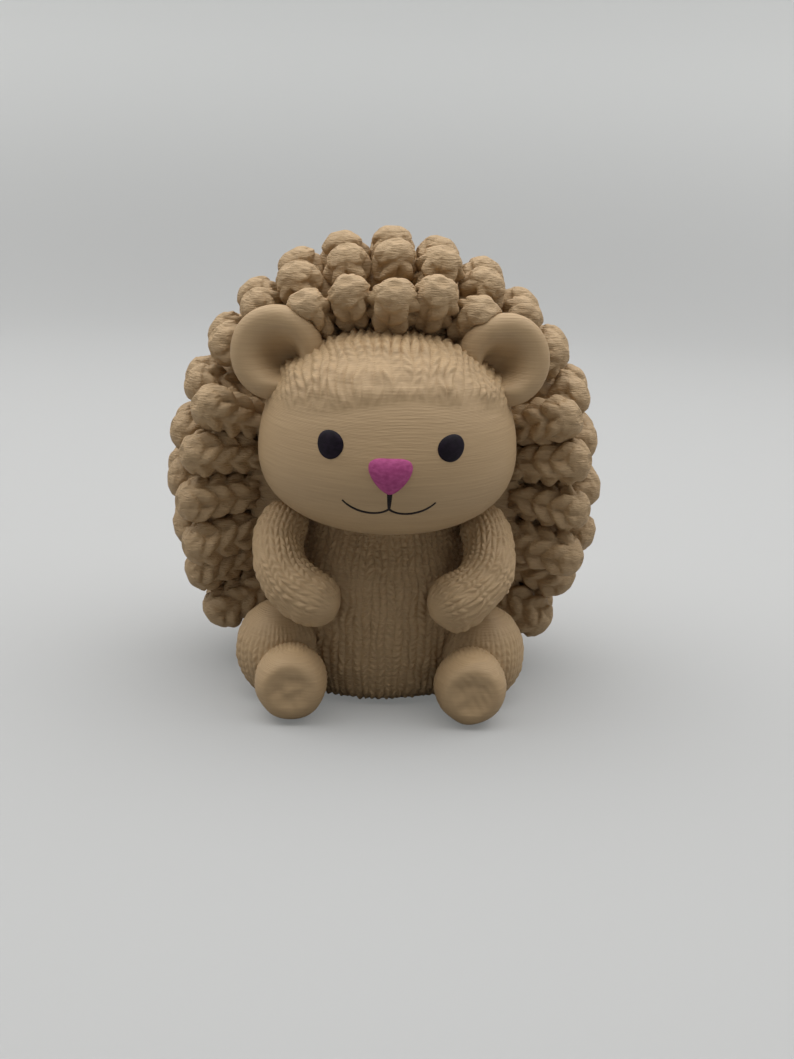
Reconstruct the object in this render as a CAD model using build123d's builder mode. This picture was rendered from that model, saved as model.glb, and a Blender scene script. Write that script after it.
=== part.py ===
"""A seated hedgehog figurine with a knitted look, printed in one tan filament.

The origin is the middle of the flat base, +Z is up and the face looks along -Y.
Left and right are the hedgehog's own, so its left side is at +X.
All lengths are millimetres.
"""

from build123d import *
from math import asin, cos, floor, pi, radians, sin, sqrt
import os

# Gap left between two sub-parts that rest on each other
seam = 0.05

# Head: a round ball, flattened below into full cheeks
head_width = 41.2
head_level = 41.0
head_rise = 18.2
head_drop = 12.7
head_forward = 10.0
side_fullness_share = 0.56
crown_fullness_share = 0.62
cheek_fullness_share = 0.72

# Body: a barrel on a flat base, whose neck sinks into the head
body_width = 34.8
body_level = 13.0
body_forward = 2.0
base_width = 22.6
neck_width = 26.4
neck_sink = 6.0
belly_fullness_share = 0.55

# Back shell: the egg that carries the quills, open in front for head and body
shell_width = 48.6
shell_depth = 38.0
shell_height = 58.8
shell_level = 33.0
shell_back = 4.0
shell_front = 7.0

# Quills: stubby cords that swell from the root and end round
quill_length = 12.2
quill_root_width = 4.5
quill_width = 6.7
quill_gap = 0.15
quill_flatness_share = 0.88
quill_sides = 6
widest_share = 0.62
quill_height_shares = (0.0, 0.3, widest_share, 0.86, 0.96, 1.0)
quill_swell_shares = (0.0, 0.5, 1.0, 0.9, 0.45, -0.3)
quill_ground_gap = 1.2
columns_round = 28
ring_gaps = 9
first_ring_angle = 71.0
crown_lean_angle = 9.0
crown_lean_fade = 3.0
first_ring_reach_angle = 118.0
ear_column_angles = (32.0, 58.0)

# Ears: dished discs on the upper corners of the head
ear_width = 14.6
ear_thickness = 4.6
ear_spread = 17.9
ear_level = 56.2
ear_forward = 12.2
ear_dish_depth = 2.4
ear_lip_radius = 1.4
ear_turn_angle = 14.0
ear_tilt_angle = 8.0

# Arms: bent cords from under the cheeks to the belly
arm_width = 8.2
hand_width = 8.8
shoulder_spread = 16.4
shoulder_forward = 11.6
shoulder_level = 28.2
elbow_spread = 16.9
elbow_forward = 16.4
elbow_level = 23.0
hand_spread = 11.2
hand_forward = 21.0
hand_level = 18.9

# Legs: a plump thigh beside the body and an egg-shaped foot before it
thigh_width = 14.2
thigh_length = 15.6
thigh_height = 16.0
thigh_spread = 16.4
thigh_forward = 12.7
foot_width = 11.4
foot_length = 13.0
foot_height = 11.7
foot_spread = 14.2
foot_forward = 22.2
heel_fullness_share = 0.56
sole_fullness_share = 0.62
sole_dish_width = 6.0
sole_dish_height = 6.8
sole_dish_depth = 0.5
tread_depth = 0.15

# Face: painted eyes, nose and mouth on the front of the head
eye_width = 3.7
eye_height = 4.5
eye_spread = 9.0
eye_level = 45.4
eye_proud = 0.45
nose_width = 6.7
nose_height = 5.4
nose_top_level = 44.2
nose_proud = 0.8
nose_root = 4.0
nose_edge = 0.4
nose_top_share = 0.35
nose_side_share = 1.75
nose_tip_share = 0.45
mouth_level = 36.2
mouth_reach = 6.7
mouth_rise = 1.0
mouth_sag = 1.6
mouth_sag_share = 0.35
mouth_line = 0.4
philtrum_line = 0.75
mouth_proud = 0.15

# Values worked out from the sizes above
head_radius = head_width / 2
body_radius = body_width / 2
body_height = head_level - head_drop + neck_sink
face_reach = head_forward + head_radius


def head_form(grow):
    """The head's ball, with its surface moved out by grow."""
    radius = head_radius + grow
    rise = head_rise + grow
    drop = head_drop + grow
    with BuildPart() as form:
        with BuildSketch(Plane.XZ):
            with BuildLine():
                cheek = Bezier(
                    (0, -drop),
                    (radius * cheek_fullness_share, -drop),
                    (radius, -drop * side_fullness_share),
                    (radius, 0),
                )
                crown = Bezier(
                    cheek @ 1,
                    (radius, rise * crown_fullness_share),
                    (radius * crown_fullness_share, rise),
                    (0, rise),
                )
                Line(crown @ 1, cheek @ 0)
            make_face()
        revolve(axis=Axis.Z)
    return form.part.moved(Location((0, -head_forward, head_level)))


def body_form(grow):
    """The body's barrel, with its side moved out by grow."""
    radius = body_radius + grow
    base = base_width / 2 + grow
    neck = neck_width / 2 + grow
    belly = body_level * belly_fullness_share
    chest = (body_height - body_level) * belly_fullness_share
    with BuildPart() as form:
        with BuildSketch(Plane.XZ):
            with BuildLine():
                rest = Line((0, 0), (base, 0))
                flank = Bezier(rest @ 1, (radius, 0), (radius, body_level - belly), (radius, body_level))
                shoulder = Bezier(
                    flank @ 1,
                    (radius, body_level + chest),
                    (neck, body_height - chest),
                    (neck, body_height),
                )
                Polyline(shoulder @ 1, (0, body_height), (0, 0))
            make_face()
        revolve(axis=Axis.Z)
    return form.part.moved(Location((0, -body_forward, 0)))


def egg_form(width, depth, height):
    """A full egg-shaped form of the given size about its own middle."""
    with BuildPart() as form:
        with BuildSketch(Plane.XZ):
            with BuildLine():
                side = EllipticalCenterArc((0, 0), width / 2, height / 2, -90, arc_size=180)
                Line(side @ 1, side @ 0)
            make_face()
        revolve(axis=Axis.Z)
        scale(by=(1, depth / width, 1))
    return form.part


def shell_point(ring_angle, column_angle):
    """A place on the back shell and the direction that points straight out of it."""
    axes = Vector(shell_width / 2, shell_depth / 2, shell_height / 2)
    out = Vector(
        sin(radians(ring_angle)) * sin(radians(column_angle)),
        -cos(radians(ring_angle)),
        sin(radians(ring_angle)) * cos(radians(column_angle)),
    )
    place = Vector(out.X * axes.X, out.Y * axes.Y + shell_back, out.Z * axes.Z + shell_level)
    normal = Vector(out.X / axes.X, out.Y / axes.Y, out.Z / axes.Z).normalized()
    return place, normal


def ring_angle(ring):
    """How far round from the front a ring lies: the last one is the single quill at the back."""
    return first_ring_angle + (180 - first_ring_angle) * ring / ring_gaps


def quill_plane(ring, column_angle):
    """The plane of one quill's root: its Z axis runs along the quill."""
    lean = max(crown_lean_angle - ring * crown_lean_fade, 0)
    crown_share = ((1 + cos(radians(column_angle))) / 2) ** 2
    place, normal = shell_point(ring_angle(ring) - lean * crown_share, column_angle)
    across = Vector(normal.Z, 0, -normal.X)
    if across.length < seam:
        across = Vector(1, 0, 0)
    return Plane(origin=place + normal * seam, x_dir=across, z_dir=normal)


def ring_columns(ring):
    """The angles round the front-to-back axis at which this ring has a quill."""
    place, normal = shell_point(ring_angle(ring), 90)
    girth = 2 * pi * (place.X + normal.X * quill_length * widest_share)
    count = max(min(columns_round, floor(girth / (quill_width + quill_gap))), 1)
    angles = [360 * column / count for column in range(count)]
    angles = [angle if angle <= 180 else angle - 360 for angle in angles]
    if ring == 0:
        low, high = ear_column_angles
        angles = [a for a in angles if abs(a) < first_ring_reach_angle and not low < abs(a) < high]
    clear = []
    for angle in angles:
        root = quill_plane(ring, angle)
        tip = root.origin + root.z_dir * quill_length
        if tip.Z - quill_width / 2 > quill_ground_gap:
            clear.append(angle)
    return clear


def quill_section(width):
    """The corners of a quill's cross-section, a little flatter from ring to ring than across."""
    steps = [2 * pi * corner / quill_sides for corner in range(quill_sides)]
    return [(width / 2 * cos(step), width / 2 * quill_flatness_share * sin(step)) for step in steps]


def blend_form(width, height, front, back, front_fullness_share):
    """An egg round the Z axis, blunt at +Z and rounder at -Z, scaled to its width and height."""
    radius = width / 2
    with BuildPart() as form:
        with BuildSketch(Plane.XZ):
            with BuildLine():
                heel = Bezier((0, -back), (radius * heel_fullness_share, -back),
                              (radius, -back * heel_fullness_share), (radius, 0))
                sole = Bezier(heel @ 1, (radius, front * front_fullness_share),
                              (radius * front_fullness_share, front), (0, front))
                Line(sole @ 1, heel @ 0)
            make_face()
        revolve(axis=Axis.Z)
        scale(by=(1, height / width, 1))
    return form.part


def ear_plane(side):
    """The plane through an ear's middle, with its Z axis out of the dish."""
    turn = radians(ear_turn_angle)
    tilt = radians(ear_tilt_angle)
    out = Vector(side * sin(turn) * cos(tilt), -cos(turn) * cos(tilt), sin(tilt))
    return Plane(
        origin=(side * ear_spread, -ear_forward, ear_level),
        x_dir=(cos(turn), side * sin(turn), 0),
        z_dir=out,
    )


def ear_form(grow):
    """An ear's round rim and bowl about its own middle, with its surface moved out by grow."""
    half = ear_thickness / 2 + grow
    lip = ear_width / 2 + grow - half
    bottom = half - ear_dish_depth
    with BuildPart() as form:
        with BuildSketch(Plane.XZ):
            with BuildLine():
                back = Line((0, -half), (lip, -half))
                rim = CenterArc((lip, 0), half, -90, 180)
                bowl = RadiusArc(rim @ 1, (0, bottom), (lip**2 + ear_dish_depth**2) / (2 * ear_dish_depth))
                Line(bowl @ 1, back @ 0)
            make_face()
        revolve(axis=Axis.Z)
        fillet(form.edges().filter_by(GeomType.CIRCLE).sort_by(Axis.Z)[-1], ear_lip_radius)
    return form.part


def arm_form(side):
    """A bent cord that swells from the shoulder to the round hand."""
    shoulder = Vector(side * shoulder_spread, -shoulder_forward, shoulder_level)
    elbow = Vector(side * elbow_spread, -elbow_forward, elbow_level)
    hand = Vector(side * hand_spread, -hand_forward, hand_level)
    with BuildPart() as form:
        with BuildLine() as bend:
            ThreePointArc(shoulder, elbow, hand)
        path = bend.line
        with BuildSketch(Plane(origin=path @ 0, z_dir=path % 0)):
            Circle(arm_width / 2)
        with BuildSketch(Plane(origin=path @ 1, z_dir=path % 1)):
            Circle(hand_width / 2)
        sweep(path=path, multisection=True)
        with Locations(shoulder):
            Sphere(arm_width / 2)
        with Locations(hand):
            Sphere(hand_width / 2)
    return form.part


def foot_form(grow):
    """A foot about its own middle, sole up, with its surface moved out by grow."""
    half = foot_length / 2 + grow
    return blend_form(foot_width + 2 * grow, foot_height + 2 * grow, half, half, sole_fullness_share)


def foot_plane(side):
    """The plane through a foot's middle, with its Z axis towards the sole."""
    return Plane(
        origin=(side * foot_spread, -foot_forward, foot_height / 2 - tread_depth),
        x_dir=(1, 0, 0),
        z_dir=(0, -1, 0),
    )


def face_plane(spread, level):
    """The plane that touches the head's front at a place, with its Z axis straight out."""
    rise = level - head_level
    limit = head_rise if rise > 0 else head_drop
    reach = head_radius * sqrt(1 - (rise / limit) ** 2)
    turn = asin(spread / reach)
    return Plane(
        origin=(spread, -head_forward - reach * cos(turn), level),
        x_dir=(cos(turn), sin(turn), 0),
        z_dir=(sin(turn), -cos(turn), rise * head_radius / limit**2),
    )


def finish(part, name):
    """Name a finished sub-part and write its file."""
    part.label = name
    export_step(part, f"parts/{name}.step")
    print(name, len(part.solids()), "solids,", round(part.volume, 1), "mm3")


os.makedirs("parts", exist_ok=True)
sides = {"left": 1, "right": -1}

# Forms that more than one sub-part needs: each one's own shape, and the room that it takes
head_ball = head_form(0)
head_room = head_form(seam)
barrel = body_form(0)
barrel_room = body_form(seam)
egg = egg_form(shell_width, shell_depth, shell_height)
ear_disc = ear_form(0)
ear_room = ear_form(seam)
foot_egg = foot_form(0)
foot_room = foot_form(seam)
thigh_egg = egg_form(thigh_width, thigh_length, thigh_height)
sole_dish = egg_form(sole_dish_width, sole_dish_height, 2 * sole_dish_depth)
eye_dome = egg_form(eye_width, eye_height, 2 * eye_proud)

# Head: the whole ball
with BuildPart() as head:
    add(head_ball)
finish(head.part, "head")

# Body: the barrel, hollowed at the neck where the head sits in it
with BuildPart() as body:
    add(barrel)
    add(head_room, mode=Mode.SUBTRACT)
finish(body.part, "body")

# Back shell: the egg, open in front and hollowed for the head and the body
with BuildPart() as back_shell:
    add(egg.moved(Location((0, shell_back, shell_level))))
    split(bisect_by=Plane.XZ.offset(shell_front), keep=Keep.BOTTOM)
    add(head_room, mode=Mode.SUBTRACT)
    add(barrel_room, mode=Mode.SUBTRACT)
finish(back_shell.part, "back_shell")

for side_name, side in sides.items():
    # Ear: the dished disc, cut where the head passes through it
    with BuildPart() as ear:
        add(ear_disc.moved(ear_plane(side).location))
        add(head_room, mode=Mode.SUBTRACT)
    finish(ear.part, f"ear_{side_name}")

    # Arm: cut where it lies on the body and goes up under the cheek
    bent_cord = arm_form(side)
    with BuildPart() as arm:
        add(bent_cord)
        add(barrel_room, mode=Mode.SUBTRACT)
        add(head_room, mode=Mode.SUBTRACT)
    finish(arm.part, f"arm_{side_name}")

    # Foot: flat below and lightly dished in the sole
    with BuildPart() as foot:
        add(foot_egg.moved(foot_plane(side).location))
        add(sole_dish.moved(foot_plane(side).offset(foot_length / 2).location), mode=Mode.SUBTRACT)
        split(bisect_by=Plane.XY, keep=Keep.TOP)
    finish(foot.part, f"foot_{side_name}")

    # Thigh: cut by the body beside it and the foot before it, and flat below
    with BuildPart() as thigh:
        add(thigh_egg.moved(Location((side * thigh_spread, -thigh_forward, thigh_height / 2 - tread_depth))))
        add(foot_room.moved(foot_plane(side).location), mode=Mode.SUBTRACT)
        add(barrel_room, mode=Mode.SUBTRACT)
        split(bisect_by=Plane.XY, keep=Keep.TOP)
    finish(thigh.part, f"thigh_{side_name}")

    # Eye: a low dome of paint on the head
    with BuildPart() as eye:
        add(eye_dome.moved(face_plane(side * eye_spread, eye_level).location))
        add(head_room, mode=Mode.SUBTRACT)
    finish(eye.part, f"eye_{side_name}")

# Nose: flat above, full at the sides and narrow below, standing a little out of the face
nose_tip_level = nose_top_level - nose_height
with BuildPart() as nose:
    with BuildSketch(Plane.XZ.offset(face_reach + nose_proud)):
        with BuildLine():
            for side in sides.values():
                half = side * nose_width / 2
                brow = Line((0, nose_top_level), (half * nose_top_share, nose_top_level))
                Bezier(
                    brow @ 1,
                    (half * nose_side_share, nose_top_level),
                    (half * nose_tip_share, nose_tip_level),
                    (0, nose_tip_level),
                )
        make_face()
    extrude(amount=-nose_root)
    fillet(nose.faces().sort_by(Axis.Y)[0].edges(), nose_edge)
    add(head_room, mode=Mode.SUBTRACT)
finish(nose.part, "nose")

# Mouth: one painted line down from the nose and two shallow curves, as a skin on the head
mouth_skin = head_form(seam + mouth_proud)
with BuildPart() as mouth:
    with BuildSketch(Plane.XZ.offset(face_reach + nose_proud)):
        with BuildLine() as smile:
            for side in sides.values():
                Bezier(
                    (0, mouth_level),
                    (side * mouth_reach * mouth_sag_share, mouth_level - mouth_sag),
                    (side * mouth_reach, mouth_level - mouth_sag / 2),
                    (side * mouth_reach, mouth_level + mouth_rise),
                )
        for edge in smile.edges():
            trace(edge, mouth_line)
        stem = nose_tip_level - mouth_level
        with Locations((0, mouth_level + stem / 2)):
            Rectangle(philtrum_line, stem - 2 * seam)
    extrude(amount=-nose_root)
    add(mouth_skin, mode=Mode.INTERSECT)
    add(head_room, mode=Mode.SUBTRACT)
finish(mouth.part, "mouth")

# Quill: one cord lofted from its flat root to its blunt tip
with BuildPart() as quill:
    for height_share, swell_share in zip(quill_height_shares, quill_swell_shares):
        width = quill_root_width + (quill_width - quill_root_width) * swell_share
        with BuildSketch(Plane.XY.offset(quill_length * height_share)):
            Polygon(*quill_section(width), align=None)
    loft(ruled=True)

# Quill rings: separate quills side by side, from the face round to the back
for ring in range(ring_gaps + 1):
    roots = [quill_plane(ring, angle).location for angle in ring_columns(ring)]
    with BuildPart() as quill_ring:
        with Locations(*roots):
            add(quill.part)
        if ring == 0:
            add(head_room, mode=Mode.SUBTRACT)
            for side in sides.values():
                add(ear_room.moved(ear_plane(side).location), mode=Mode.SUBTRACT)
    finish(quill_ring.part, f"quill_ring_{ring + 1}")
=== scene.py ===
# %% [markdown]
# A seated hedgehog figurine with a knitted look. The real one is a single small print in tan filament,
# with a painted face. The CAD model gives each piece its place and size, and this script gives the pieces
# the surface that you would see: stitches, rounded edges, layer lines and paint.
# The first step loads the CAD model as a fixed frame, in which nothing is moved, and keeps its box.
# %% Load the frame
from math import cos, pi, radians, sin

import bpy
import numpy as np
from mathutils import Euler, Matrix, Vector


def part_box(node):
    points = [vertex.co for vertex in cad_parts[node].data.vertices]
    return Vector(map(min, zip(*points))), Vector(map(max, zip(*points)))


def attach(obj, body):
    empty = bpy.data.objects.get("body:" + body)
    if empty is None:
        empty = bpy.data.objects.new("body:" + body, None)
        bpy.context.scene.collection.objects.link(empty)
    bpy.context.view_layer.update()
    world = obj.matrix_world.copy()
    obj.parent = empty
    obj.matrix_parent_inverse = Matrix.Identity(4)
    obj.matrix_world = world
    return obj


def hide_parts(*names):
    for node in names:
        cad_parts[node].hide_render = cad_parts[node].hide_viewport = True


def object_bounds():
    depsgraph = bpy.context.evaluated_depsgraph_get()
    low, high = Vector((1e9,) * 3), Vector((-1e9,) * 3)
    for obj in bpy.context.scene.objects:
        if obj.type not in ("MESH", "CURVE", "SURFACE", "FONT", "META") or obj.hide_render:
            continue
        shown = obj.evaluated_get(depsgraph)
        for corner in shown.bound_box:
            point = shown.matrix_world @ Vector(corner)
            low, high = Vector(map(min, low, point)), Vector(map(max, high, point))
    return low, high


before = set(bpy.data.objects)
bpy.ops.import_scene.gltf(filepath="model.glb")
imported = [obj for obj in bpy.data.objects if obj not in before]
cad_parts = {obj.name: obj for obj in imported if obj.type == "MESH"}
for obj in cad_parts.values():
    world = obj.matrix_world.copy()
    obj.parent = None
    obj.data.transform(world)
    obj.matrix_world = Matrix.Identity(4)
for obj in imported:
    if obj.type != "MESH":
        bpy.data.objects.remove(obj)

mm = 0.001
cad_low, cad_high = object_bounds()
print("CAD box in mm:", [round(value / mm, 1) for value in (*cad_low, *cad_high)])

# %% [markdown]
# The camera comes first, because every later look is judged through it. It stands about 26 cm in front
# of the figurine and looks a little down, and the hand that held it turned and rolled it by a degree or
# two. A lens is easier to match through its focal length in pixels than in millimetres.
# %% Camera
photo_height = 1059
focal_pixels = 1600
camera_place = Vector((-7.1, -259.9, 97.7)) * mm
camera_pitch, camera_heading, camera_roll = radians(15.68), radians(2.1), radians(2.25)
nearest_seen = 10 * mm

scene = bpy.context.scene
camera = bpy.data.objects.new("camera", bpy.data.cameras.new("camera"))
camera.data.lens = camera.data.sensor_width * focal_pixels / photo_height
camera.data.clip_start = nearest_seen
turned = Euler((pi / 2 - camera_pitch, 0, -camera_heading)).to_matrix()
camera.matrix_world = Matrix.Translation(camera_place) @ (
    turned @ Matrix.Rotation(camera_roll, 3, "Z")).to_4x4()
scene.collection.objects.link(camera)
scene.camera = camera
scene.view_settings.view_transform = "Standard"
print("lens", round(camera.data.lens, 1), "mm")

# %% [markdown]
# Most pieces here are grids: rows of points along a form and columns of points round it. One helper turns
# such a grid into a mesh, and can close both ends with a fan of triangles round one point. Arrays are quick
# even for a hundred thousand points, and a formula can place every point.
# %% Grid meshes
def mesh_object(name, points, faces):
    """A smooth-shaded object from points in metres and faces."""
    mesh = bpy.data.meshes.new(name)
    mesh.from_pydata(points, [], faces)
    mesh.shade_smooth()
    piece = bpy.data.objects.new(name, mesh)
    scene.collection.objects.link(piece)
    return piece


def grid_quads(here, following):
    """Quads between a grid of point numbers and the same grid one column on."""
    corners = np.stack([here[:-1], following[:-1], following[1:], here[1:]], axis=-1)
    return corners.reshape(-1, 4).tolist()


def grid_mesh(name, rows, start=None, end=None):
    """An object over a grid that closes round, with a fan at each end that has a middle point."""
    index = np.arange(rows[..., 0].size).reshape(rows.shape[:2])
    following = np.roll(index, -1, axis=1)
    points = rows.reshape(-1, 3).tolist()
    faces = grid_quads(index, following)
    for middle, ring, onward in ((start, following[0], index[0]), (end, index[-1], following[-1])):
        if middle is not None:
            faces += [(len(points), *pair) for pair in zip(ring.tolist(), onward.tolist())]
            points.append(list(middle))
    return mesh_object(name, points, faces)


def joined_mesh(name, grids, grid_faces):
    """An object over several grids, each with the faces that a function gives for its point numbers."""
    first, faces = 0, []
    for grid in grids:
        index = first + np.arange(grid[..., 0].size).reshape(grid.shape[:2])
        faces += grid_faces(index)
        first += index.size
    return mesh_object(name, np.concatenate(grids).reshape(-1, 3).tolist(), faces)


print("one quad:", grid_quads(np.array([[0], [2]]), np.array([[1], [3]])))

# %% [markdown]
# Three more helpers shape a grid. One gives vectors a length of one, one moves points out along the
# surface, and one rises smoothly from nothing to all, so that one form melts into the next.
# %% Shaping a grid
shortest = 1e-12


def unit(vectors):
    """The same vectors with a length of one."""
    return vectors / np.maximum(np.linalg.norm(vectors, axis=-1, keepdims=True), shortest)


def raised(rows, height):
    """The grid's points moved out along the surface by height, for a grid that closes round."""
    along = np.gradient(rows, axis=0)
    across = (np.roll(rows, -1, axis=1) - np.roll(rows, 1, axis=1)) / 2
    return rows + unit(np.cross(across, along)) * height[..., None]


def fade(low, high, value):
    """Rises smoothly from 0 at low to 1 at high."""
    share = np.clip((value - low) / (high - low), 0, 1)
    return share * share * (3 - 2 * share)


print("a quarter of the way up a fade:", fade(0, 1, 0.25))

# %% [markdown]
# The figurine imitates plain knitting: each stitch shows as a V of two plump legs, and the stitches stand
# in columns that knitters call wales. A picture of knitting would look flat from the side, so the stitches
# are real relief. One formula gives their height: each leg is a rounded lobe that leans outward from the
# foot of its V and dips under the next stitch, where a low cord stops the dent. A middle height is taken
# off later, so that the relief goes in as well as out. A second formula adds lumps, because a print of a
# fine knit comes out uneven. It goes by the place in space, so it has no seam, and makes the wales stray.
# %% Stitches
leg_fullness = 0.55
stitch_middle, full_stitch_middle = 0.5, 0.6


def stitches(wale, row, slant=0.6, lean=0.1, cord=0.5, reach=0.48, roundness=0.65):
    """Height from 0 to 1 of plain knitting. Both places count in stitches, and rows count up the V."""
    side = np.abs(2 * (wale % 1) - 1)
    share = (row - slant * side) % 1
    middle = 0.5 + lean * (share - 0.5)
    across = np.clip(1 - ((side - middle) / reach) ** 2, 0, 1)
    lobe = across ** roundness * np.sin(pi * share) ** leg_fullness
    under = cord * np.sqrt(np.clip(1 - (2 * side - 1) ** 2, 0, 1))
    return np.maximum(lobe, under)


def lumps(points, size, seed, waves=12):
    """Soft unevenness, mostly between -1 and 1, as a sum of seeded waves through space."""
    draw = np.random.default_rng(seed)
    total = 0
    for _ in range(waves):
        way = draw.normal(size=3) / size
        total = total + np.sin(points @ way + draw.uniform(0, 2 * pi))
    return total / np.sqrt(2 * waves)


def strayed(count, points, amount, seed, size=2 * mm):
    """Places counted in stitches, strayed by about the amount."""
    return count + amount * lumps(points, size, seed)


def uneven_knit(height, uneven, varied=0.4, rough=0.4):
    """Stitch height that varies with the lumps, which are also added to it."""
    return height * (1 + varied * uneven) + rough * uneven


print("height at a stitch's middle:", round(float(stitches(np.array(0.25), np.array(0.8))), 2))

# %% [markdown]
# A material in Blender is a tree of nodes, and a few helpers keep the trees short. One sets a node's
# inputs, to plain values or by links. The others add what several finishes need: noise whose spots have a
# chosen width and height, a colour that follows a number, sums, and a bump, which shades like fine relief.
# %% Material helpers
def new_material(name, roughness):
    """A material with its node tree and its main shader."""
    material = bpy.data.materials.new(name)
    material.use_nodes = True
    shader = material.node_tree.nodes["Principled BSDF"]
    shader.inputs["Roughness"].default_value = roughness
    return material, material.node_tree, shader


def set_inputs(tree, node, inputs):
    """The node with its inputs set, each to a value or by a link from a socket."""
    for name, value in inputs.items():
        if hasattr(value, "is_output"):
            tree.links.new(value, node.inputs[name])
        else:
            node.inputs[name].default_value = value
    return node


def add_node(tree, kind, inputs):
    """A new node with its inputs set."""
    return set_inputs(tree, tree.nodes.new(kind), inputs)


def stretched_noise(tree, level_size, upright_size, detail):
    """Noise over the object's own coordinates, with its spots as wide and as high as given."""
    place = tree.nodes.new("ShaderNodeTexCoord").outputs["Object"]
    scale = (1 / level_size, 1 / level_size, 1 / upright_size)
    scaled = add_node(tree, "ShaderNodeMapping", {"Vector": place, "Scale": scale}).outputs["Vector"]
    noise = add_node(tree, "ShaderNodeTexNoise", {"Vector": scaled, "Scale": 1, "Detail": detail})
    return noise.outputs["Fac"]


def two_colours(tree, factor, dark, light, low=0.35, high=0.65):
    """A colour that goes from dark to light as the factor goes from low to high."""
    ramp = add_node(tree, "ShaderNodeValToRGB", {"Fac": factor})
    for stop, position, colour in zip(ramp.color_ramp.elements, (low, high), (dark, light)):
        stop.position = position
        stop.color = colour
    return ramp.outputs["Color"]


def calculated(tree, operation, first, second=0.0):
    """One sum of two numbers, either of them a socket."""
    sum_node = add_node(tree, "ShaderNodeMath", {0: first, 1: second})
    sum_node.operation = operation
    return sum_node.outputs["Value"]


def upright_part(tree, vector):
    """The part of a vector that points up."""
    return add_node(tree, "ShaderNodeSeparateXYZ", {"Vector": vector}).outputs["Z"]


def add_bump(tree, shader, height, strength, depth):
    """Shade the surface as if the height were relief of that depth."""
    bump = add_node(tree, "ShaderNodeBump", {"Height": height, "Strength": strength, "Distance": depth})
    tree.links.new(bump.outputs["Normal"], shader.inputs["Normal"])


print("materials that came with the frame:", len(bpy.data.materials))

# %% [markdown]
# The tan filament is matte, with a faint silky gloss. Its surface shows how it was printed: layers 0.2 mm
# high, seen as fine level lines where a form curves over, and level streaks where a layer came out a little
# lighter or rougher. Both follow the height, so the material reads the object's own coordinates, with noise
# stretched level. The knit of the body and the quills looks fuzzy besides, as if its stitches were finer
# than the print could draw. That fuzz is one more noise in the bump, so one recipe gives two finishes.
# %% Tan print
tan_light = (0.472, 0.322, 0.172, 1)
tan_dark = (0.434, 0.294, 0.155, 1)
tan_roughness = 0.62
layer_height = 0.2 * mm
streak_width, streak_height, streak_detail, streak_strength = 12 * mm, 0.3 * mm, 3, 2.5
dash_width, dash_height, dash_detail = 2.5 * mm, 0.3 * mm, 2
hair_width, hair_height, hair_detail, knit_fuzz = 1.1 * mm, 0.24 * mm, 3, 14.0
line_base, upright_share = 4.0, 0.15
print_bump_strength, print_bump_depth = 0.8, 0.03 * mm


def layer_lines(tree):
    """Broken level lines, one to a layer, strongest where the surface faces up or down."""
    place = tree.nodes.new("ShaderNodeTexCoord").outputs["Object"]
    turns = calculated(tree, "MULTIPLY", upright_part(tree, place), 2 * pi / layer_height)
    lines = calculated(tree, "ADD", calculated(tree, "SINE", turns), line_base)
    facing = tree.nodes.new("ShaderNodeNewGeometry").outputs["Normal"]
    steepness = calculated(tree, "ABSOLUTE", upright_part(tree, facing))
    dashes = stretched_noise(tree, dash_width, dash_height, dash_detail)
    shown = calculated(tree, "MULTIPLY", calculated(tree, "ADD", steepness, upright_share), dashes)
    return calculated(tree, "MULTIPLY", lines, shown)


def tan_print(name, fuzz):
    """Matte tan filament with layer lines, level streaks and as much fuzz as given."""
    material, tree, shader = new_material(name, tan_roughness)
    streaks = stretched_noise(tree, streak_width, streak_height, streak_detail)
    set_inputs(tree, shader, {"Base Color": two_colours(tree, streaks, tan_dark, tan_light)})
    rough = calculated(tree, "MULTIPLY", streaks, streak_strength)
    hairs = stretched_noise(tree, hair_width, hair_height, hair_detail)
    hairs = calculated(tree, "MULTIPLY", hairs, fuzz)
    height = calculated(tree, "ADD", calculated(tree, "ADD", layer_lines(tree), rough), hairs)
    add_bump(tree, shader, height, print_bump_strength, print_bump_depth)
    return material


tan = tan_print("tan_print", 0.0)
fuzzy_tan = tan_print("fuzzy_tan_print", knit_fuzz)
print("tan finishes:", tan.name, "and", fuzzy_tan.name)

# %% [markdown]
# Every finished piece is dressed in the same way. It gets its material and rides on the figurine's one
# body, and the CAD nodes that it stands for are hidden.
# %% Dressing a piece
def dress(piece, material, slot_name, *nodes):
    """Give a piece its material and hide the CAD nodes that it stands for. The slot name is not used."""
    piece.data.materials.append(material)
    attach(piece, "root")
    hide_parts(*nodes)
    print(piece.name, len(piece.data.vertices), "points")


sides = (("left", 1), ("right", -1))
print("sides:", sides)

# %% [markdown]
# Most forms here are round about an axis, like a pot on a wheel, so half an outline is enough. It is drawn
# as Bezier curves, because a few handles make it full or slack. Its points are then set a steady distance
# apart, so that all stitches come out equally fine, and it is turned about the upright axis.
# %% Outlines and turned forms
fine_step = 0.2 * mm


def bezier(count, *handles):
    """Points along a cubic Bezier curve with four handles."""
    share = np.linspace(0, 1, count)[:, None]
    rest = 1 - share
    start, leaving, coming, end = (np.array(handle, float) for handle in handles)
    return start * rest**3 + 3 * leaving * share * rest**2 + 3 * coming * share**2 * rest + end * share**3


def two_curves(count, *handles):
    """Two Bezier curves in a row with seven handles, of which they share the fourth."""
    return np.concatenate([bezier(count, *handles[:4]), bezier(count, *handles[3:])[1:]])


def evenly(line, spacing):
    """The same line with its points a steady distance apart."""
    steps = np.linalg.norm(np.diff(line, axis=0), axis=1)
    reach = np.concatenate([[0], np.cumsum(steps)])
    marks = np.linspace(0, reach[-1], max(int(reach[-1] / spacing), 2) + 1)
    return np.stack([np.interp(marks, reach, line[:, axis]) for axis in range(line.shape[1])], axis=1)


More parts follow.
